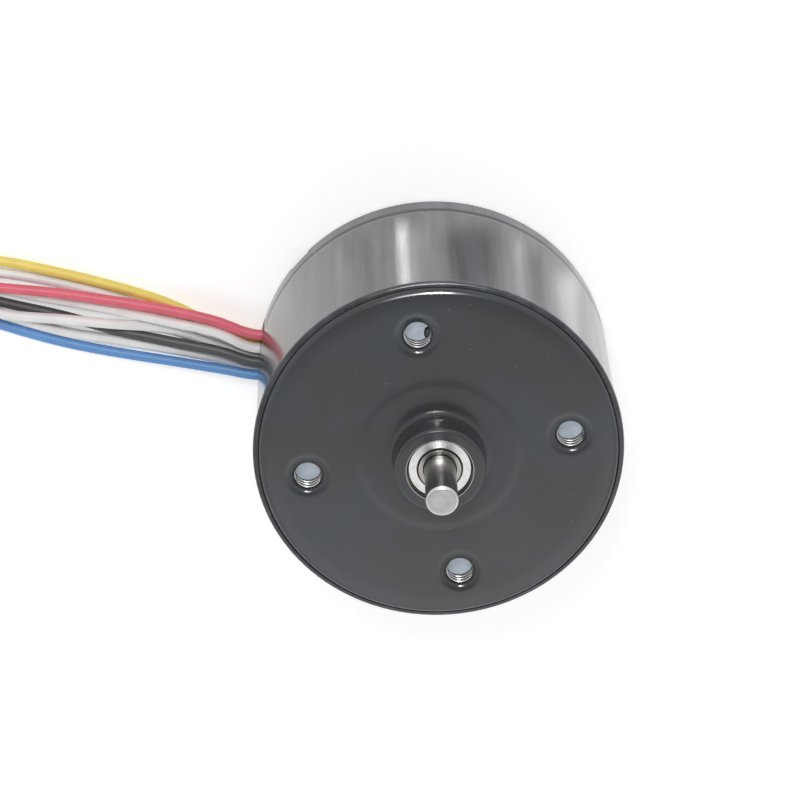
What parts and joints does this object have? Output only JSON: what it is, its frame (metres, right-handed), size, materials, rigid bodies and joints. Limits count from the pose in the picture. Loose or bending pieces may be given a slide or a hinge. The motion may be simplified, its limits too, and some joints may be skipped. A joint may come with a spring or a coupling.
{
  "type": "micro brushless motor",
  "caption": "Short round brushless DC motor with a smooth steel shaft in a bearing boss, tapped face holes, and coloured flying leads ending in a plug.",
  "frame": {"origin": "on the shaft's axis, in the plane of the rear cover's underside", "axes": "+Z along the shaft, out of the front face; +X and +Y through two neighbouring face holes; the leads leave near -X"},
  "size_m": [0.095, 0.0411, 0.0309],
  "materials": {
    "cover_paint": "semi-gloss charcoal coating",
    "can_paint": "glossy dark grey coating",
    "rear_paint": "semi-gloss charcoal coating",
    "milky_film": "milky translucent film",
    "fish_paper": "plain insulating sheet",
    "lamination": "bare electrical steel",
    "bobbin_plastic": "moulded, matte",
    "enamelled_copper": "enamelled, glossy",
    "board_green": "solder mask",
    "sensor_black": "moulded, matte",
    "chip_body": "fired, matte",
    "grommet_black": "moulded, matte",
    "pin_copper": "tinned copper",
    "pin_tin": "tinned",
    "solder": "bright solder",
    "spring_steel": "spring steel",
    "ring_steel": "ground bearing steel",
    "shield_steel": "pressed sheet steel",
    "ball_steel": "polished",
    "cage_brass": "pressed sheet",
    "shaft_steel": "ground and polished",
    "core_iron": "turned iron",
    "magnet_grey": "sintered, dull",
    "spacer_brass": "turned",
    "yellow_skin": "flexible insulation, satin",
    "red_skin": "flexible insulation, satin",
    "black_skin": "flexible insulation, satin",
    "blue_skin": "flexible insulation, satin",
    "white_skin": "flexible insulation, satin",
    "plug_nylon": "moulded, satin",
    "contact_tin": "stamped",
    "tie_black": "flexible strip"
  },
  "bodies": {
    "housing": {"front_cover": "cover_paint", "motor_can": "can_paint", "rear_cover": "rear_paint", "front_insulator": "milky_film", "rear_insulator": "fish_paper", "stator_core": "lamination", "front_bobbin": "bobbin_plastic", "rear_bobbin": "bobbin_plastic", "stator_windings": "enamelled_copper", "circuit_board": "board_green", "hall_sensors": "sensor_black", "board_chips": "chip_body", "wire_grommet": "grommet_black", "lead_pins": "pin_copper", "winding_pins": "pin_tin", "solder_joints": "solder", "wave_washer": "spring_steel", "front_bearing_outer_ring": "ring_steel", "front_bearing_shields": "shield_steel", "rear_bearing_outer_ring": "ring_steel", "rear_bearing_shields": "shield_steel", "yellow_wire": "yellow_skin", "red_wire": "red_skin", "black_wire": "black_skin", "blue_wire": "blue_skin", "white_wires": "white_skin", "yellow_coil": "yellow_skin", "red_coil": "red_skin", "black_coil": "black_skin", "blue_coil": "blue_skin", "white_coils": "white_skin", "yellow_tail": "yellow_skin", "red_tail": "red_skin", "black_tail": "black_skin", "blue_tail": "blue_skin", "white_tails": "white_skin", "plug_housing": "plug_nylon", "plug_contacts": "contact_tin", "coil_tie": "tie_black"},
    "rotor": {"rotor_shaft": "shaft_steel", "rotor_core": "core_iron", "rotor_magnet": "magnet_grey", "front_spacer": "spacer_brass", "rear_spacer": "spacer_brass", "front_bearing_inner_ring": "ring_steel", "rear_bearing_inner_ring": "ring_steel"},
    "front_ball_set": {"front_bearing_balls": "ball_steel", "front_bearing_cage": "cage_brass"},
    "rear_ball_set": {"rear_bearing_balls": "ball_steel", "rear_bearing_cage": "cage_brass"}
  },
  "joints": [
    {"name": "rotor_spin", "type": "hinge", "parent": "housing", "child": "rotor", "pos_m": [0, 0, 0.0117], "axis": [0, 0, 1], "continuous": true},
    {"name": "front_ball_spin", "type": "hinge", "parent": "housing", "child": "front_ball_set", "pos_m": [0, 0, 0.02275], "axis": [0, 0, 1], "continuous": true},
    {"name": "rear_ball_spin", "type": "hinge", "parent": "housing", "child": "rear_ball_set", "pos_m": [0, 0, 0.0027], "axis": [0, 0, 1], "continuous": true}
  ],
  "couplings": [
    {"joint": "front_ball_spin", "follows": "rotor_spin", "ratio": 0.38},
    {"joint": "rear_ball_spin", "follows": "rotor_spin", "ratio": 0.38}
  ]
}
